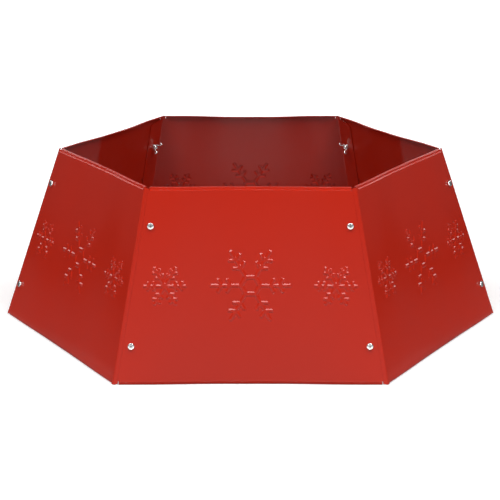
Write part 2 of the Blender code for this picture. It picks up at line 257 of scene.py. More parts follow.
# Floor; what isn't said to be along X or Y is measured from the collar's middle
FLOOR_SIZE = 60
FLOOR_DROP = 0.3 * MM
FLOOR_DULL = 0.9
FLOOR_WHITE = 0.8  # its colour where it shows white
GLOW_NEAR = 0.4  # its glow there, near the collar and far off
GLOW_FAR = 1.0
GLOW_START = 0.4
GLOW_END = 2.2
WHITE = (1, 1, 1, 1)

# Painted reflection: gloss sees the floor white in the middle, less so round it, white in front and
# dim everywhere else, though the camera sees it all white
FLOOR_DIM = 0.2  # its colour everywhere else
POOL_START = 0.1
POOL_SHORE = 0.21
POOL_SHALLOW = 0.28  # share of white from the shore outwards
POOL_EDGE = 0.4
POOL_END = 0.46
FRONT_START = -0.28  # along Y
FRONT_END = -0.32

# Painted light and shade on the floor: its colour for the light that it bounces, brighter in a strip
# of it and in the middle, darker close in front
BOUNCE = 0.3
BOUNCE_STRIP = 0.8
STRIP_INNER = 0.29
STRIP_FULL = 0.33
STRIP_FADE = 0.42
STRIP_OUTER = 0.62
SIDE_START = 0.1  # along X, where the strip starts on either side
SIDE_FULL = 0.22
AHEAD_SHARE = 0.1  # of the bounce, close in front
INSIDE_SHARE = 0.15  # of the strip's surplus, inside the collar
INSIDE_START = 0.2
INSIDE_END = 0.27

# Sky, and the backdrop in it; its bounds are parts of a direction of length one
SKY_BEHIND = (0.15, 0.15, 0.15)
SKY_AHEAD = (0.2, 0.2, 0.2)
BACKDROP_SIDE = 0.1  # along Y, where it starts and where it is full
BACKDROP_FULL = -0.4
BACKDROP_LOW = 0.225  # along Z, up to where it is full and where it ends
BACKDROP_HIGH = 0.34

# Lamps: where each stands, the spot that it points at, its width and height, and its power.
# The front snowflakes mirror the overhead lamp, and those on the sides the flake lamps.
MIDDLE = (0, 0, HEIGHT / 2)
FRONT_FLAKE = (0, -0.27, 0.12)
LOW = 0.08  # height of the front and the back lamp
MIDDLE_LAMPS = {
    "overhead": {"place": (0, -0.83, 2.7), "aim": FRONT_FLAKE, "size": (3.4, 0.25), "power": 28},
    "front": {"place": (0, -2.6, LOW), "aim": (0, 0, LOW), "size": (2.2, 0.14), "power": 13},
    "back": {"place": (0, 2.6, LOW), "aim": (0, 0, LOW), "size": (2.2, 0.14), "power": 10},
    "slope": {"place": (0, 2.25, 1.45), "aim": MIDDLE, "size": (2.2, 0.3), "power": 7.5},
}

# The same, for the lamps that stand on the right and, mirrored, on the left
SIDE_LAMPS = {
    "key": {"place": (1.35, -1.61, 2.81), "aim": MIDDLE, "size": (1.0, 1.0), "power": 34},
    "rim": {"place": (2.53, 1.39, 0.6), "aim": MIDDLE, "size": (0.8, 0.12), "power": 1.5},
    "flake": {"place": (2.145, 1.84, 1.29), "aim": MIDDLE, "size": (0.6, 0.4), "power": 2.4},
    "lip": {"place": (0.9, 2.8, 0.85), "aim": MIDDLE, "size": (0.9, 0.12), "power": 0.4},
}

OUT = Vector((0, 0, 1))
ACROSS = Vector((1, 0, 0))
INWARDS = Vector((0, math.sin(LEAN), -math.cos(LEAN)))  # level, in a panel's own frame
FLAT = Matrix.Identity(4)


def panel_frame(turns):
    """Axes of a panel: X along its width, Y up its slope, Z out of its outer face."""
    facing = Matrix.Rotation(turns * math.tau / SIDES, 4, "Z")
    foot = Matrix.Translation((0, -BASE_APOTHEM, 0))
    tilt = Matrix.Rotation(math.pi / 2 - LEAN, 4, "X")
    return facing @ foot @ tilt


def half_width(rise):
    """Half the width of a panel, corner to corner, this far up its slope."""
    return BASE_SIDE / 2 - rise * math.tan(FLARE)


def panel_point(side, inset, rise, depth=0.0):
    """A point of a panel, placed from one of its corners and inwards from its outer face."""
    return Vector((side * (half_width(rise) - inset), rise, -depth))


def neighbour(side):
    """Places of the panel round the corner, as this panel's own frame sees them."""
    return panel_frame(0).inverted() @ panel_frame(side)


def screw_rise(level):
    """How far up the slope the lower or the upper screws stand."""
    return SCREW_RISE if level == "lower" else SLOPE - SCREW_RISE


def spaced(start, end, count):
    """This many equal steps from start to end, both included."""
    return [start + (end - start) * step / count for step in range(count + 1)]


class Skin:
    """Outer face of a bent sheet, before it gets its thickness.

    Each point has a place, the way out of the sheet there, and a normal for its shading.
    """

    def __init__(self):
        self.places = []
        self.ways = []
        self.normals = []
        self.faces = []

    def add(self, place, way, normal=None):
        self.places.append(Vector(place))
        self.ways.append(Vector(way))
        self.normals.append(Vector(normal or way))
        return len(self.places) - 1

    def lay(self, points):
        """Add points of the flat sheet."""
        return [self.add((*point, 0), OUT) for point in points]

    def face(self, corners):
        """Add a face that looks out of the sheet."""
        first, second, third = (self.places[corner] for corner in corners[:3])
        normal = (second - first).cross(third - second)
        outwards = sum((self.ways[corner] for corner in corners), Vector())
        self.faces.append(corners if normal.dot(outwards) > 0 else corners[::-1])

    def strips(self, rows, closed=False):
        """Quads between each row and the next, which has as many points."""
        count = len(rows[0])
        for first, second in zip(rows, rows[1:]):
            for index in range(count if closed else count - 1):
                after = (index + 1) % count
                self.face([first[index], first[after], second[after], second[index]])

    def fill(self, plane, outline, holes=(), spots=()):
        """Triangles between an outline and its holes, over the spots, all in one plane."""
        way = plane.to_3x3() @ OUT
        flat = plane.inverted()
        numbers = []
        rings = []
        for ring in (outline, *holes):
            rings.append(list(range(len(numbers), len(numbers) + len(ring))))
            numbers.extend(ring)
        for spot in spots:
            numbers.append(self.add(plane @ Vector((*spot, 0)), way))
        points = [(flat @ self.places[number]).xy / MM for number in numbers]
        for ring in rings:
            if signed_area([points[index] for index in ring]) < 0:
                ring.reverse()
        result = delaunay_2d_cdt(points, [], rings, FILL_INSIDE, FILL_TOLERANCE)
        spread, _, triangles, sources, _, parents = result
        crossings = [place for place, source in zip(spread, sources) if not source]
        if crossings:
            raise ValueError(f"outlines cross at {crossings}")
        for triangle, inside in zip(triangles, parents):
            if inside == [0]:
                self.face([numbers[sources[corner][0]] for corner in triangle])


def signed_area(points):
    """Twice the area of a flat outline, positive where it runs counter-clockwise."""
    return sum(a.x * b.y - a.y * b.x for a, b in zip(points, points[1:] + points[:1]))


def right_of(way):
    """The flat unit vector to the right of a way."""
    return Vector((way.y, -way.x)).normalized()


def fillets(outline, radius, steps):
    """Where the rounded corners of a counter-clockwise outline lie.

    Gives (centre, reach, way) for each point, so that centre + way * (reach + distance) lies on
    the rounded outline, this distance outside it.
    """
    points = []
    befores = outline[-1:] + outline[:-1]
    afters = outline[1:] + outline[:1]
    for before, corner, after in zip(befores, outline, afters):
        first = right_of(corner - before)
        second = right_of(after - corner)
        convex = first.x * second.y - first.y * second.x > 0
        reach = radius if convex else -radius
        centre = corner - reach * (first + second) / (1 + first.dot(second))
        for step in range(steps + 1):
            points.append((centre, reach, first.slerp(second, step / steps)))
    return points


def rounded(outline, radii):
    """Round the inner points of an open flat line, each with its own radius."""
    points = [outline[0]]
    for before, corner, after, radius in zip(outline, outline[1:], outline[2:], radii):
        if not radius:
            points.append(corner)
            continue
        back = (before - corner).normalized()
        onward = (after - corner).normalized()
        half_turn = (math.pi - back.angle(onward)) / 2
        cut = radius * math.tan(half_turn)
        middle = (back + onward).normalized()
        centre = corner + middle * radius / math.cos(half_turn)
        first = corner + back * cut - centre
        last = corner + onward * cut - centre
        for step in range(CORNER_STEPS + 1):
            points.append(centre + radius * first.slerp(last, step / CORNER_STEPS))
    points.append(outline[-1])
    return points


def panel_line(side, spots, radii):
    """Rounded flat line on a panel through spots that are given by inset and rise."""
    return rounded([panel_point(side, *spot).xy for spot in spots], radii)


def bent_section(corners, radii, way):
    """Rounded profile of the sheet through these corners: place and way out of each point."""
    section = []
    for before, corner, after, radius in zip(corners, corners[1:], corners[2:], radii):
        back = (before - corner).normalized()
        onward = (after - corner).normalized()
        first = way * ACROSS.cross(-back)
        last = way * ACROSS.cross(onward)
        swell = radius if first.dot(onward) < 0 else -radius
        centre = corner - swell * (first + last) / (1 + first.dot(last))
        for share in spaced(0, 1, BEND_STEPS):
            out = first.slerp(last, share)
            section.append((centre + swell * out, out))
    section.append((corners[-1], last))
    return section


def foot_section():
    """Profile of a panel's foot: a band that is turned inwards, and the lip below it."""
    low = Vector((0, FOOT_BAND, 0))
    band = Vector((0, -math.cos(FOOT_BAND_TURN), -math.sin(FOOT_BAND_TURN)))
    bottom = low + band * FOOT_BAND * math.cos(LEAN) / math.cos(FOOT_BAND_TURN - LEAN)
    corners = [Vector((0, SLOPE / 2, 0)), low, bottom, INWARDS * FOOT_REACH]
    return bent_section(corners, [FOOT_BEND, FOOT_BEND], -1)


def rim_section():
    """Profile of a panel's rim: a ledge, a band that is set back, and the lip above it."""
    rim = Vector((0, SLOPE, 0))
    step = Vector((0, math.cos(RIM_STEP_TURN), -math.sin(RIM_STEP_TURN))) * RIM_STEP
    low = Vector((0, SLOPE - RIM_BAND, 0))
    top = rim - INWARDS * step.z / math.cos(LEAN)
    corners = [Vector((0, SLOPE / 2, 0)), low, low + step, top, rim + INWARDS * RIM_REACH]
    return bent_section(corners, [RIM_BEND, STEP_FILLET, RIM_BEND], 1)


def lip(skin, section):
    """The bent lip along a panel's foot or rim; returns its row of points on the flat sheet."""
    flat_end = section[0][0].y
    half = half_width(flat_end) - LIP_END
    rows = []
    for place, out in section:
        along = spaced(-half, half, LIP_COLUMNS)
        rows.append([skin.add(place + Vector((x, 0, 0)), out) for x in along])
    skin.strips(rows)
    return rows[0]


def free_margin(skin, side, low, high):
    """Edge of the sheet that lies outside the next panel, from the foot to the rim."""
    corners = [(LIP_END, low), (FREE_EDGE, low), (FREE_EDGE, high), (LIP_END, high)]
    return skin.lay(panel_line(side, corners, (TAB_ROUND, TAB_ROUND)))


def fold_inset(side):
    """Where the bend of a flange starts, from the corner of the hexagon."""
    turn = OUT.angle(neighbour(side).to_3x3() @ OUT)
    return (FLANGE_DEPTH / math.sin(turn) + FLANGE_BEND * math.tan(turn / 2)) / math.cos(FLARE)


def fold(skin, side):
    """The bend round a corner; returns its row on the panel and its row on the flange."""
    out_beyond = (neighbour(side).to_3x3() @ OUT).normalized()
    start_inset = fold_inset(side)
    rows = []
    for share in spaced(0, 1, BEND_STEPS):
        arm = OUT.slerp(out_beyond, share)
        row = []
        for rise in spaced(TAB_FALL, SLOPE - TAB_FALL, FOLD_ROWS):
            start = panel_point(side, start_inset, rise)
            row.append(skin.add(start + (arm - OUT) * FLANGE_BEND, arm))
        rows.append(row)
    skin.strips(rows)
    return rows[0], rows[-1]


def hole(skin, plane, side, level):
    """Rim of a screw hole in a panel or a flange."""
    centre = panel_point(side, SCREW_INSET, screw_rise(level))
    ring = []
    for angle in spaced(0, math.tau, HOLE_STEPS)[:-1]:
        reach = Vector((math.cos(angle), math.sin(angle), 0)) * HOLE_RADIUS
        ring.append(skin.add(plane @ (centre + reach), plane.to_3x3() @ OUT))
    return ring


def flange(skin, side, folded_row, low, high):
    """The flange that lies inside the next panel, with its two screw holes."""
    plane = neighbour(side) @ Matrix.Translation(-OUT * FLANGE_DEPTH)
    way = plane.to_3x3() @ OUT
    beside_lip = LIP_END - 2 * SEAT_GAP
    corners = [
        (beside_lip, SLOPE - CORNER_FALL),
        (beside_lip, high),
        (FLANGE_EDGE, high - FLANGE_TAPER),
        (FLANGE_EDGE, low + FLANGE_TAPER),
        (beside_lip, low),
        (beside_lip, CORNER_FALL),
    ]
    points = panel_line(-side, corners, (0, FLANGE_ROUND, FLANGE_ROUND, 0))
    edge = [skin.add(plane @ Vector((*point, 0)), way) for point in points]
    holes = [hole(skin, plane, -side, level) for level in ("lower", "upper")]
    skin.fill(plane, folded_row + edge, holes)


def flange_margin(skin, side, low, high):
    """Corner tabs, fold and flange; returns the flat sheet's edge, from the foot to the rim."""
    tab_inset = LIP_END - RELIEF_WIDTH
    start_inset = fold_inset(side)
    foot = TAB_FALL
    rim = SLOPE - TAB_FALL
    lower = [(LIP_END, low), (tab_inset, low), (tab_inset, foot), (start_inset, foot)]
    upper = [(start_inset, rim), (tab_inset, rim), (tab_inset, high), (LIP_END, high)]
    row, folded_row = fold(skin, side)
    flange(skin, side, folded_row, low, high)
    lower_points = panel_line(side, lower, (0, TAB_ROUND))
    upper_points = panel_line(side, upper, (TAB_ROUND, 0))
    return skin.lay(lower_points[:-1]) + row + skin.lay(upper_points[1:])


def arm_outline(flake):
    """One arm of a snowflake, pointing along X, from its right root round the tip to its left."""
    half = flake["arm"] / 2
    slant = Vector((math.cos(BRANCH_ANGLE), math.sin(BRANCH_ANGLE)))
    across = Vector((-slant.y, slant.x))
    reach_side = half / math.sin(BRANCH_ANGLE)
    points = []
    for base in flake["branches"]:
        root = Vector((base, 0))
        end = root + slant * flake["branch_length"]
        middle = root.x + half / math.tan(BRANCH_ANGLE)
        points += [Vector((middle - reach_side, half)), end + across * half]
        points += [end - across * half, Vector((middle + reach_side, half))]
    points.append(Vector((flake["reach"], half)))
    mirrored = [Vector((point.x, -point.y)) for point in points]
    return mirrored + points[::-1]


def flake_outline(flake):
    """Outline of a whole snowflake, counter-clockwise."""
    half = flake["arm"] / 2
    step = math.tau / FLAKE_ARMS
    points = []
    for arm in range(FLAKE_ARMS):
        turn = Matrix.Rotation(arm * step, 2)
        if flake["ring"]:
            ring_apothem = flake["ring"] * math.cos(step / 2) + flake["ring_stroke"] / 2
            root = ring_apothem / math.cos(step / 2) - half * math.tan(step / 2)
            points.append(turn @ Vector((root, -half)))
        points.extend(turn @ point for point in arm_outline(flake))
        if flake["ring"]:
            points.append(turn @ Vector((root, half)))
        else:
            notch = half / math.sin(step / 2)
            points.append(turn @ (Matrix.Rotation(step / 2, 2) @ Vector((notch, 0))))
    return points


def ring_hole(flake):
    """Inner outline of the ring in the middle of a snowflake, counter-clockwise."""
    step = math.tau / FLAKE_ARMS
    apothem = flake["ring"] * math.cos(step / 2) - flake["ring_stroke"] / 2
    corner = Vector((apothem / math.cos(step / 2), 0))
    return [Matrix.Rotation(arm * step, 2) @ corner for arm in range(FLAKE_ARMS)]


def relief_section():
    """Pressed wall from the top of a stroke to the flat sheet: an arc, a straight, and an arc.

    Gives (distance outside the outline, height, slope) for each row.
    """
    arc_reach = FLAKE_BEND * math.sin(FLAKE_SLOPE)
    arc_fall = FLAKE_BEND * (1 - math.cos(FLAKE_SLOPE))
    straight = (FLAKE_RELIEF - 2 * arc_fall) / math.tan(FLAKE_SLOPE)
    half = arc_reach + straight / 2
    rows = []
    for slope in spaced(0, FLAKE_SLOPE, RELIEF_STEPS):
        fall = FLAKE_BEND * (1 - math.cos(slope))
        rows.append((FLAKE_BEND * math.sin(slope) - half, FLAKE_RELIEF - fall, slope))
    rows += [(-distance, FLAKE_RELIEF - height, slope) for distance, height, slope in rows[::-1]]
    rows.append((half + FLAKE_BORDER, 0, 0))
    return rows


def relief_rings(skin, outline, centre, inside_out):
    """Rows of points down the slope round an outline; returns the top one and the flat one."""
    corners = fillets(outline, FLAKE_FILLET, FILLET_STEPS)
    rows = []
    for distance, height, slope in relief_section():
        swell = -distance if inside_out else distance
        row = []
        for middle, reach, way in corners:
            point = centre + middle + way * (reach + swell)
            lean = -way if inside_out else way
            normal = Vector((*(lean * math.sin(slope)), math.cos(slope)))
            row.append(skin.add((*point, height), OUT, normal))
        rows.append(row)
    skin.strips(rows, closed=True)
    return rows[0], rows[-1]


def snowflake(skin, flake, centre):
    """A pressed snowflake; returns the ring where it meets the flat sheet."""
    raised = Matrix.Translation(OUT * FLAKE_RELIEF)
    top, border = relief_rings(skin, flake_outline(flake), centre, False)
    inner_tops = []
    if flake["ring"]:
        inner_top, inner_border = relief_rings(skin, ring_hole(flake), centre, True)
        inner_tops.append(inner_top)
        skin.fill(FLAT, inner_border)
    skin.fill(raised, top, inner_tops)
    return border


def flake_places():
    """Kind and centre of each of a panel's snowflakes."""
    middle = Vector((0, SLOPE / 2))
    aside = Vector((SMALL_FLAKE_OFFSET, 0))
    return [("large", middle), ("small", middle + aside), ("small", middle - aside)]


def sheet_spots(low, high):
    """Points spread over the flat sheet, clear of its edges and its snowflakes, so that it bends."""
    spots = []
    flakes = [(FLAKES[kind]["reach"] + SPOT_CLEARANCE, centre) for kind, centre in flake_places()]
    rows = round((high - low) / SPOT_SPACING)
    for rise in spaced(low, high, rows)[1:-1]:
        edge = half_width(rise) - SCREW_INSET - SPOT_CLEARANCE
        columns = round(2 * edge / SPOT_SPACING)
        for x in spaced(-edge, edge, columns):
            spot = Vector((x, rise))
            if all((spot - centre).length > clear for clear, centre in flakes):
                spots.append(spot)
    return spots


def panel_skin(flanged):
    """Outer face of a panel; flanged tells for each side whether it carries a flange."""
    skin = Skin()
    foot_row = lip(skin, foot_section())
    rim_row = lip(skin, rim_section())
    low = skin.places[foot_row[0]].y + RELIEF_DEPTH
    high = skin.places[rim_row[0]].y - RELIEF_DEPTH
    margins = {}
    holes = []
    for side, has_flange in flanged.items():
        if has_flange:
            margins[side] = flange_margin(skin, side, low, high)
        else:
            margins[side] = free_margin(skin, side, low, high)
            holes.extend(hole(skin, FLAT, side, level) for level in ("lower", "upper"))
    for kind, centre in flake_places():
        holes.append(snowflake(skin, FLAKES[kind], centre))
    outline = foot_row + margins[RIGHT] + rim_row[::-1] + margins[LEFT][::-1]
    skin.fill(FLAT, outline, holes, sheet_spots(low, high))
    return skin


def smooth_step(share):
    """Ease from nought to one, level at both ends."""
    share = min(max(share, 0), 1)
    return share * share * (3 - 2 * share)


def bow_at(x, rise, bows):
    """How far a panel is bowed inwards at a point of its face."""
    foot_bow, rim_bow = bows
    up = min(max(rise / SLOPE, 0), 1)
    most = foot_bow + (rim_bow - foot_bow) * up
    bowed_half = half_width(min(max(rise, 0), SLOPE)) - FLANGE_EDGE - BOW_MARGIN
    return most * smooth_step((1 - abs(x) / bowed_half) / BOW_RAMP_SHARE)


def bow(places, normals, bows):
    """Bow the places of a panel level and inwards, and turn their normals with them."""
    step = SHEET
    for index, place in enumerate(places):
        x, rise, _ = place
        slope_x = bow_at(x + step, rise, bows) - bow_at(x - step, rise, bows)
        slope_rise = bow_at(x, rise + step, bows) - bow_at(x, rise - step, bows)
        slope = Vector((slope_x, slope_rise, 0)) / (2 * step)
        normal = normals[index]
        turned = normal - slope * INWARDS.dot(normal) / (1 + slope.dot(INWARDS))
        normals[index] = turned.normalized()
        places[index] = place + INWARDS * bow_at(x, rise, bows)


def open_edges(faces):
    """Edges that only one face uses, as the point that follows each of their points."""
    used = set()
    for corners in faces:
        used.update(zip(corners, corners[1:] + corners[:1]))
    return {start: end for start, end in used if (end, start) not in used}


def edge_ways(skin, following):
    """For each point on the sheet's edge, the way out of the edge and its length at a corner."""
    preceding = {end: start for start, end in following.items()}
    ways = {}
    for point, after in following.items():
        way = skin.ways[point]
        back = (skin.places[point] - skin.places[preceding[point]]).cross(way).normalized()
        onward = (skin.places[after] - skin.places[point]).cross(way).normalized()
        ways[point] = (back + onward) / max(1 + back.dot(onward), EDGE_ROUND / SHEET)
    return ways


def thicken(skin):
    """Give the skin its thickness and its rounded edge; returns places, normals and faces."""
    following = open_edges(skin.faces)
    ways = edge_ways(skin, following)
    places = []
    normals = []
    for point, place in enumerate(skin.places):
        places.append(place - ways[point] * EDGE_ROUND if point in ways else place.copy())
        normals.append(skin.normals[point].copy())
    count = len(places)
    for point in range(count):
        places.append(places[point] - skin.ways[point] * SHEET)
        normals.append(-skin.normals[point])
    faces = [list(corners) for corners in skin.faces]
    faces += [[count + corner for corner in reversed(corners)] for corners in skin.faces]
    rims = {}
    for point, way in ways.items():
        rims[point] = [point]
        out = skin.ways[point]
        for angle in spaced(0, math.pi, RIM_STEPS)[1:-1]:
            sideways = way * EDGE_ROUND * math.sin(angle)
            sunk = out * SHEET / 2 * (1 - math.cos(angle))
            places.append(places[point] + sideways - sunk)
            spread = way.normalized() * math.sin(angle) / EDGE_ROUND
            normals.append((spread + out * math.cos(angle) * 2 / SHEET).normalized())
            rims[point].append(len(places) - 1)
        rims[point].append(count + point)
    for point, after in following.items():
        for step in range(RIM_STEPS):
            near, far = rims[point], rims[after]
            faces.append([far[step], near[step], near[step + 1], far[step + 1]])
    return places, normals, faces


def placed(name, data):
    """A new object in the scene."""
    thing = bpy.data.objects.new(name, data)
    bpy.context.scene.collection.objects.link(thing)
    return thing


def make_panel(name, turns, coat):
    """One panel of fine sheet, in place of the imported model's."""
    flanged = {side: (name, side) not in CORNERS.values() for side in (LEFT, RIGHT)}
    places, normals, faces = thicken(panel_skin(flanged))
    bow(places, normals, BOWS[name])
    stand = panel_frame(turns)
    turn = stand.to_3x3()
    normals = [turn @ normal for normal in normals]
    mesh = bpy.data.meshes.new(f"sheet_{name}")
    mesh.from_pydata([stand @ place for place in places], [], faces)
    mesh.shade_smooth()
    mesh.normals_split_custom_set_from_vertices(normals)
    mesh.materials.append(coat)
    panel = placed(f"sheet_{name}", mesh)
    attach(panel, "root")
    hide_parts(f"panel_{name}")


def object_from(builder, name):
    """An object with the mesh that was built."""
    mesh = bpy.data.meshes.new(name)
    builder.to_mesh(mesh)
    builder.free()
    return placed(name, mesh)


def finished_mesh(thing, name, sharp_above):
    """The mesh of an object with its modifiers applied; the object itself goes."""
    view = bpy.context.evaluated_depsgraph_get()
    mesh = bpy.data.meshes.new_from_object(thing.evaluated_get(view), depsgraph=view)
    mesh.name = name
    mesh.shade_smooth()
    mesh.set_sharp_from_angle(angle=sharp_above)
    bpy.data.objects.remove(thing, do_unlink=True)
    return mesh


def band(builder, lower, upper, skipped=()):
    """Quads between two rings, but for those at the skipped places."""
    for index, corner in enumerate(lower):
        after = (index + 1) % len(lower)
        if index not in skipped:
            builder.faces.new((corner, lower[after], upper[after], upper[index]))


def revolve(builder, rows, steps):
    """A closed solid of revolution; each row is a height, a radius and the thread's depth there."""
    rings = []
    for height, radius, depth in rows:
        ring = []
        for angle in spaced(0, math.tau, steps)[:-1]:
            turn = (height / THREAD_PITCH - angle / math.tau) % 1
            reach = radius - depth * (1 - abs(2 * turn - 1))
            spot = (reach * math.cos(angle), reach * math.sin(angle), height)
            ring.append(builder.verts.new(spot))
        rings.append(ring)
    for lower, upper in zip(rings, rings[1:]):
        band(builder, lower, upper)
    builder.faces.new(rings[0][::-1])
    builder.faces.new(rings[-1])


def screw_rows():
    """Profile of the screw from its tail to the crown of its head; the seat is at Z = 0."""
    length = GRIP + HUB_HEIGHT + SCREW_TAIL
    head = HEAD_DIAMETER / 2
    shank = SHANK_DIAMETER / 2
    core = shank - THREAD_DEPTH
    rows = [(-length, core - THREAD_DEPTH, 0), (THREAD_DEPTH - length, core, 0)]
    turns = (THREAD_LENGTH - 2 * THREAD_DEPTH) / THREAD_PITCH
    start = 2 * THREAD_DEPTH - length
    for height in spaced(start, THREAD_LENGTH - length, round(turns * THREAD_STEPS)):
        rows.append((height, shank, THREAD_DEPTH))
    rows.append((THREAD_LENGTH + THREAD_DEPTH - length, shank, 0))
    rows += [(0, shank, 0), (0, head - HEAD_ROUND, 0), (HEAD_ROUND, head, 0)]
    flat = RECESS_SPAN / 2 + HEAD_FLAT
    dome = HEAD_HEIGHT - HEAD_RIM
    for angle in spaced(0, math.pi / 2, BEND_STEPS):
        radius = flat + (head - flat) * math.cos(angle)
        rows.append((HEAD_RIM + dome * math.sin(angle), radius, 0))
    return rows


def cross_outline(span, width):
    """Outline of the driver's cross, counter-clockwise."""
    arm = span / 2
    narrow = width / 2
    corners = [Vector((arm, -narrow)), Vector((arm, narrow)), Vector((narrow, narrow))]
    points = []
    for number in range(RECESS_ARMS):
        turn = Matrix.Rotation(number * math.tau / RECESS_ARMS, 2)
        points.extend(turn @ corner for corner in corners)
    return points


def recess_cutter():
    """Tapered cross that cuts the recess into the screw's head."""
    builder = bmesh.new()
    bottom = HEAD_HEIGHT - RECESS_DEPTH
    rings = []
    for share, height in ((RECESS_TAPER_SHARE, bottom), (1, HEAD_HEIGHT + OVERRUN)):
        outline = cross_outline(RECESS_SPAN * share, RECESS_WIDTH * share)
        rings.append([builder.verts.new((*point, height)) for point in outline])
    lower, upper = rings
    builder.faces.new(lower[::-1])
    builder.faces.new(upper)
    band(builder, lower, upper)
    return object_from(builder, "recess_cutter")


def screw_mesh(finish, painted_recess_shade):
    """Pan-head screw with a cross recess, in its own finish, and a thread at its tail; the recess is
    painted dark as shade.
    """
    builder = bmesh.new()
    revolve(builder, screw_rows(), ROUND_STEPS)
    screw = object_from(builder, "screw_pattern")
    screw.data.materials.append(finish)
    cutter = recess_cutter()
    # The recess's faces take the dark grey material: painted shade in the recess.
    cutter.data.materials.append(painted_recess_shade)
    cut = screw.modifiers.new("Recess", "BOOLEAN")
    cut.operation = "DIFFERENCE"
    cut.object = cutter
    cut.material_mode = "TRANSFER"
    mesh = finished_mesh(screw, "screw", SCREW_SHARP)
    bpy.data.objects.remove(cutter, do_unlink=True)
    return mesh


def ring_of(builder, radius, height):
    """A ring of the nut's cage, wider by what smoothing takes off; a face lies across each wing."""
    step = math.tau / NUT_COLUMNS
    stretch = 3 / (2 + math.cos(step))
    ring = []
    for index in range(NUT_COLUMNS):
        angle = (index - 1 / 2) * step
        spot = Vector((math.cos(angle), math.sin(angle))) * radius * stretch
        ring.append(builder.verts.new((*spot, height)))
    return ring


def hub_rings(builder):
    """Cage of the nut's hub: from the bore over the seat, up its side and back over its top."""
    seat = HUB_DIAMETER / 2
    top = HUB_TOP_DIAMETER / 2
    foot = seat + (top - seat) * WING_FOOT / HUB_HEIGHT
    return [
        ring_of(builder, HOLE_RADIUS, 0),
        ring_of(builder, seat, 0),
        ring_of(builder, foot, WING_FOOT),
        ring_of(builder, top, HUB_HEIGHT),
        ring_of(builder, (top + HOLE_RADIUS) / 2, HUB_HEIGHT),
        ring_of(builder, HOLE_RADIUS, HUB_HEIGHT),
    ]


def wing_sections():
    """Three points across a wing, low to high, at its neck, in its ear and at the ear's end."""
    centre = Vector((WING_SPAN / 2 - EAR_RADIUS, WING_HEIGHT - EAR_RADIUS))
    reach = EAR_RADIUS * EAR_STRETCH

    def around(angle):
        return centre + Vector((math.cos(angle), math.sin(angle))) * reach

    return [
        [NECK_LOW, NECK_MIDDLE, NECK_HIGH],
        [around(EAR_LOW), centre, around(EAR_HIGH)],
        [around(0), around(math.pi / 4), around(math.pi / 2)],
    ]


def wing_rings(builder, direction):
    """Cage of one wing: each ring goes up one face of it and down the other."""
    half = direction * WING_SHEET / 2
    rings = []
    for section in wing_sections():
        ring = [builder.verts.new((direction * spot.x, -half, spot.y)) for spot in section]
        ring += [builder.verts.new((direction * spot.x, half, spot.y)) for spot in section[::-1]]
        rings.append(ring)
    return rings


def nut_mesh():
    """Wing nut: the seat is at Z = 0, the wings rise along Z and stand out along X."""
    builder = bmesh.new()
    rings = hub_rings(builder)
    bore_seat, seat, foot, top, crown, bore_top = rings
    wings = {0: RIGHT, NUT_COLUMNS // 2: LEFT}
    for lower, upper in zip(rings, rings[1:] + rings[:1]):
        band(builder, lower, upper, wings if lower in (foot, top) else ())
    for index, direction in wings.items():
        after = (index + 1) % NUT_COLUMNS
        root = [ring[index] for ring in (foot, top, crown)]
        root += [ring[after] for ring in (crown, top, foot)]
        wing = [root] + wing_rings(builder, direction)
        for near, far in zip(wing, wing[1:]):
            band(builder, near, far)
        low, middle, high, other_high, other_middle, other_low = wing[-1]
        builder.faces.new((low, middle, other_middle, other_low))
        builder.faces.new((middle, high, other_high, other_middle))
    bmesh.ops.recalc_face_normals(builder, faces=builder.faces)
    crease = builder.edges.layers.float.new("crease_edge")
    for ring in (bore_seat, seat, bore_top):
        for first, second in zip(ring, ring[1:] + ring[:1]):
            builder.edges.get((first, second))[crease] = NUT_CREASE
    nut = object_from(builder, "wing_nut_pattern")
    smoothing = nut.modifiers.new("Smoothing", "SUBSURF")
    smoothing.levels = NUT_SMOOTHING
    smoothing.render_levels = NUT_SMOOTHING
    return finished_mesh(nut, "wing_nut", NUT_SHARP)


def place_fixing(name, mesh, matrix, node, body):
    """A screw or a nut at its place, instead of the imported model's."""
    thing = placed(name, mesh)
    thing.matrix_world = matrix
    bpy.context.view_layer.update()
    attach(thing, body)
    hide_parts(node)


def make_fixings():
    """A screw from outside and a wing nut from inside, in every hole."""
    screw = screw_mesh(plated_steel("screw_zinc"), plated_steel("screw_recess_painted_shade"))
    nut = nut_mesh()
    nut.materials.append(plated_steel("wing_nut_zinc"))
    inward = Matrix.Rotation(math.pi, 4, "X")
    for corner, (outer_panel, side) in CORNERS.items():
        outer_frame = panel_frame(PANELS.index(outer_panel))
        for level, wing_turn in zip(("upper", "lower"), WING_TURNS[corner]):
            seat = panel_point(side, SCREW_INSET, screw_rise(level), -SEAT_GAP)
            matrix = outer_frame @ Matrix.Translation(seat)
            node = f"screw_{corner}_{level}"
            place_fixing(f"bolt_{corner}_{level}", screw, matrix, node, "root")
            seat = panel_point(side, SCREW_INSET, screw_rise(level), GRIP - SEAT_GAP)
            turn = Matrix.Rotation(math.pi / 2 - side * wing_turn, 4, "Z")
            matrix = outer_frame @ Matrix.Translation(seat) @ turn @ inward
            node = f"wing_nut_{corner}_{level}"
            place_fixing(f"winged_nut_{corner}_{level}", nut, matrix, node, node)


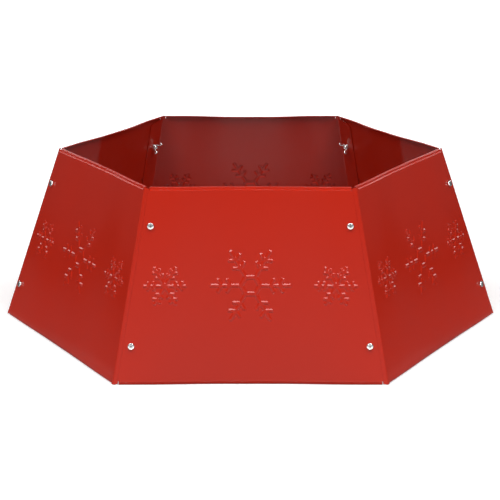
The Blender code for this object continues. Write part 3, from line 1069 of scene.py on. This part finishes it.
class Nodes:
    """Shorter way to build a node tree."""

    def __init__(self, tree):
        self.tree = tree

    def add(self, kind, **settings):
        node = self.tree.nodes.new(kind)
        for name, value in settings.items():
            setattr(node, name, value)
        return node

    def join(self, output, entry):
        self.tree.links.new(output, entry)

    def ramp(self, source, low, high, from_low=0.0, from_high=1.0):
        """Map a value to a range of another."""
        node = self.add("ShaderNodeMapRange")
        self.join(source, node.inputs["Value"])
        ends = {"From Min": from_low, "From Max": from_high, "To Min": low, "To Max": high}
        for name, value in ends.items():
            node.inputs[name].default_value = value
        return node.outputs["Result"]

    def combine(self, operation, values):
        """Take values together, two at a time."""
        result, *others = values
        for other in others:
            node = self.add("ShaderNodeMath", operation=operation)
            self.join(result, node.inputs[0])
            self.join(other, node.inputs[1])
            result = node.outputs["Value"]
        return result

    def largest(self, *values):
        return self.combine("MAXIMUM", values)

    def product(self, *values):
        return self.combine("MULTIPLY", values)

    def noise(self, scale, detail):
        """Noise over the surface, in the piece's own coordinates."""
        place = self.add("ShaderNodeTexCoord")
        node = self.add("ShaderNodeTexNoise")
        self.join(place.outputs["Object"], node.inputs["Vector"])
        node.inputs["Scale"].default_value = scale
        node.inputs["Detail"].default_value = detail
        return node.outputs["Fac"]

    def blend(self, share, first, second):
        """Mix two colours."""
        node = self.add("ShaderNodeMix", data_type="RGBA")
        self.join(share, node.inputs["Factor"])
        node.inputs["A"].default_value = (*first, 1)
        node.inputs["B"].default_value = (*second, 1)
        return node.outputs["Result"]

    def bump(self, height, distance):
        node = self.add("ShaderNodeBump")
        self.join(height, node.inputs["Height"])
        node.inputs["Distance"].default_value = distance
        return node.outputs["Normal"]


def new_material(name):
    """A material with its node helper and its shader."""
    material = bpy.data.materials.new(name)
    material.use_nodes = True
    return material, Nodes(material.node_tree), material.node_tree.nodes["Principled BSDF"]


def powder_coat():
    """Glossy red powder coat: a fine orange peel, and the least cloudiness of colour and gloss."""
    material, nodes, shader = new_material("red_powder_coat")
    clouds = nodes.noise(CLOUD_SCALE, CLOUD_DETAIL)
    nodes.join(nodes.blend(clouds, COAT_DARK, COAT_LIGHT), shader.inputs["Base Color"])
    nodes.join(nodes.ramp(clouds, COAT_GLOSSIEST, COAT_DULLEST), shader.inputs["Roughness"])
    peel = nodes.noise(PEEL_SCALE, PEEL_DETAIL)
    nodes.join(nodes.bump(peel, PEEL_DEPTH), shader.inputs["Normal"])
    shader.inputs["Specular IOR Level"].default_value = COAT_SPECULAR
    return material


def plated_steel(name):
    """Zinc-plated steel with a fine grain."""
    look = METALS[name]
    colour = look["colour"]
    dull = look["dull"]
    material, nodes, shader = new_material(name)
    grain = nodes.noise(look["grain_scale"], GRAIN_DETAIL)
    tint = nodes.blend(grain, tuple(level * GRAIN_SHADE for level in colour), colour)
    nodes.join(tint, shader.inputs["Base Color"])
    rough = nodes.ramp(grain, dull * (1 - DULL_SPREAD), dull * (1 + DULL_SPREAD))
    nodes.join(rough, shader.inputs["Roughness"])
    nodes.join(nodes.bump(grain, look["grain_depth"]), shader.inputs["Normal"])
    shader.inputs["Metallic"].default_value = 1
    return material


def shows_white(nodes, glossy_share):
    """One for camera and transmitted rays, a share for glossy ones, and nought for the others."""
    path = nodes.add("ShaderNodeLightPath")
    glossy = nodes.product(path.outputs["Is Glossy Ray"], glossy_share)
    straight = nodes.largest(path.outputs["Is Camera Ray"], path.outputs["Is Transmission Ray"])
    return nodes.largest(straight, glossy)


def painted_floor_reflection(nodes, reach, front):
    """Painted reflection: how white gloss sees the floor, inside the collar and close round it, and
    in front.
    """
    middle = nodes.ramp(reach, 1, POOL_SHALLOW, POOL_START, POOL_SHORE)
    pool = nodes.product(middle, nodes.ramp(reach, 1, 0, POOL_EDGE, POOL_END))
    return nodes.largest(pool, front)


def painted_floor_light(nodes, reach, front, across):
    """Painted light and shade: how much light the floor bounces, most beside the collar, and least
    close in front.
    """
    square = nodes.product(across, across)
    sideways = nodes.ramp(square, 0, 1, SIDE_START ** 2, SIDE_FULL ** 2)
    beyond = nodes.ramp(reach, 0, 1, STRIP_INNER, STRIP_FULL)
    within = nodes.ramp(reach, 1, 0, STRIP_FADE, STRIP_OUTER)
    inside = nodes.ramp(reach, INSIDE_SHARE, 0, INSIDE_START, INSIDE_END)
    strip = nodes.largest(inside, nodes.product(sideways, beyond, within))
    ahead = nodes.product(front, nodes.ramp(sideways, 1, 0), within)
    return nodes.product(nodes.ramp(strip, BOUNCE, BOUNCE_STRIP), nodes.ramp(ahead, 1, AHEAD_SHARE))


def make_floor():
    """Floor that shows white to the camera and keeps the collar's shadow."""
    builder = bmesh.new()
    bmesh.ops.create_grid(builder, x_segments=1, y_segments=1, size=FLOOR_SIZE / 2)
    floor = object_from(builder, "floor")
    floor.location.z = -FLOOR_DROP
    material, nodes, shader = new_material("floor_white")
    place = nodes.add("ShaderNodeTexCoord")
    distance = nodes.add("ShaderNodeVectorMath", operation="LENGTH")
    nodes.join(place.outputs["Object"], distance.inputs[0])
    reach = distance.outputs["Value"]
    parts = nodes.add("ShaderNodeSeparateXYZ")
    nodes.join(place.outputs["Object"], parts.inputs["Vector"])
    front = nodes.ramp(parts.outputs["Y"], 1, 0, FRONT_END, FRONT_START)
    white = shows_white(nodes, painted_floor_reflection(nodes, reach, front))
    path = nodes.add("ShaderNodeLightPath")
    # Diffuse rays see painted light and shade in the floor's colour, set by place.
    level = painted_floor_light(nodes, reach, front, parts.outputs["X"])
    bounce = nodes.product(path.outputs["Is Diffuse Ray"], level)
    dim = nodes.ramp(path.outputs["Is Glossy Ray"], 0, FLOOR_DIM)
    grey = nodes.largest(bounce, dim, nodes.ramp(white, 0, FLOOR_WHITE))
    nodes.join(grey, shader.inputs["Base Color"])
    glow = nodes.ramp(reach, GLOW_NEAR, GLOW_FAR, GLOW_START, GLOW_END)
    # The floor glows where it shows white, so the pool and the front also glow to gloss as a painted
    # reflection.
    nodes.join(nodes.product(white, glow), shader.inputs["Emission Strength"])
    shader.inputs["Emission Color"].default_value = WHITE
    shader.inputs["Roughness"].default_value = FLOOR_DULL
    shader.inputs["Specular IOR Level"].default_value = 0
    floor.data.materials.append(material)


def make_world():
    """Sky that shows white to the camera, and to gloss as a low backdrop in front."""
    world = bpy.data.worlds.new("studio")
    world.use_nodes = True
    bpy.context.scene.world = world
    nodes = Nodes(world.node_tree)
    place = nodes.add("ShaderNodeTexCoord")
    parts = nodes.add("ShaderNodeSeparateXYZ")
    nodes.join(place.outputs["Generated"], parts.inputs["Vector"])
    ahead = nodes.ramp(parts.outputs["Y"], 1, 0, BACKDROP_FULL, BACKDROP_SIDE)
    low = nodes.ramp(parts.outputs["Z"], 1, 0, BACKDROP_LOW, BACKDROP_HIGH)
    sky = world.node_tree.nodes["Background"]
    mix = nodes.add("ShaderNodeMix", data_type="RGBA")
    nodes.join(shows_white(nodes, nodes.product(ahead, low)), mix.inputs["Factor"])
    nodes.join(nodes.blend(ahead, SKY_BEHIND, SKY_AHEAD), mix.inputs["A"])
    mix.inputs["B"].default_value = WHITE
    nodes.join(mix.outputs["Result"], sky.inputs["Color"])


def soft_box(name, side, place, aim, size, power):
    """A rectangular lamp that points at a spot."""
    lamp = bpy.data.lights.new(name, "AREA")
    lamp.shape = "RECTANGLE"
    lamp.size, lamp.size_y = size
    lamp.energy = power
    thing = placed(name, lamp)
    thing.location = (side * place[0], place[1], place[2])
    thing.rotation_euler = (Vector(aim) - thing.location).to_track_quat("-Z", "Y").to_euler()
    thing.visible_camera = False


def make_lights():
    """The lamps of the middle, and the paired ones on both sides."""
    for name, settings in MIDDLE_LAMPS.items():
        soft_box(name, RIGHT, **settings)
    for side in (LEFT, RIGHT):
        for name, settings in SIDE_LAMPS.items():
            soft_box(name, side, **settings)


def make_camera():
    """The camera that took the photograph, as fitted to it."""
    camera = bpy.data.cameras.new("camera")
    camera.lens = CAMERA_LENS
    camera.sensor_width = CAMERA_SENSOR
    camera.shift_x = CAMERA_SHIFT
    thing = placed("camera", camera)
    thing.location = CAMERA_PLACE
    thing.rotation_euler = (math.pi / 2 - CAMERA_PITCH, 0, 0)
    bpy.context.scene.camera = thing


def main():
    make_camera()
    make_world()
    make_lights()
    make_floor()
    coat = powder_coat()
    for turns, name in enumerate(PANELS):
        make_panel(name, turns, coat)
    make_fixings()
    bpy.context.scene.view_settings.view_transform = "Standard"


main()

bpy.context.view_layer.update()
